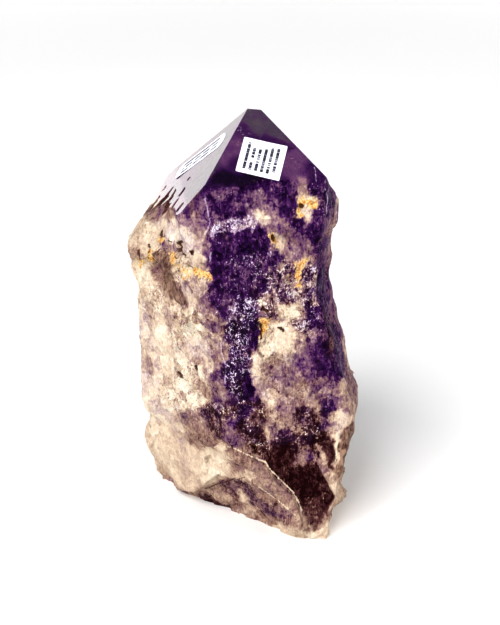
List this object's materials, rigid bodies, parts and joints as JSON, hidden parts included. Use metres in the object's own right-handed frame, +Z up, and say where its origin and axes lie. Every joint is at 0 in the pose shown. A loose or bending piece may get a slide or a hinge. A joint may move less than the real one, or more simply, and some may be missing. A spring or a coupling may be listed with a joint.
{
  "type": "amethyst crystal point",
  "caption": "Natural amethyst point: a rough, cream-frosted purple quartz prism with a polished pyramid tip and small paper labels, standing on its flat cut base.",
  "frame": {"origin": "centre of the bounding box in plan, at the height of the flat cut base", "axes": "+Z up along the crystal towards its tip, -Y towards the front, which carries the square label, +X to the right"},
  "size_m": [0.084, 0.069, 0.1561],
  "materials": {
    "amethyst": "polished on the tip and frosted below",
    "label_paper": "matt"
  },
  "bodies": {
    "root": {"amethyst_point": "amethyst", "front_label": "label_paper", "side_label": "label_paper"}
  },
  "joints": []
}
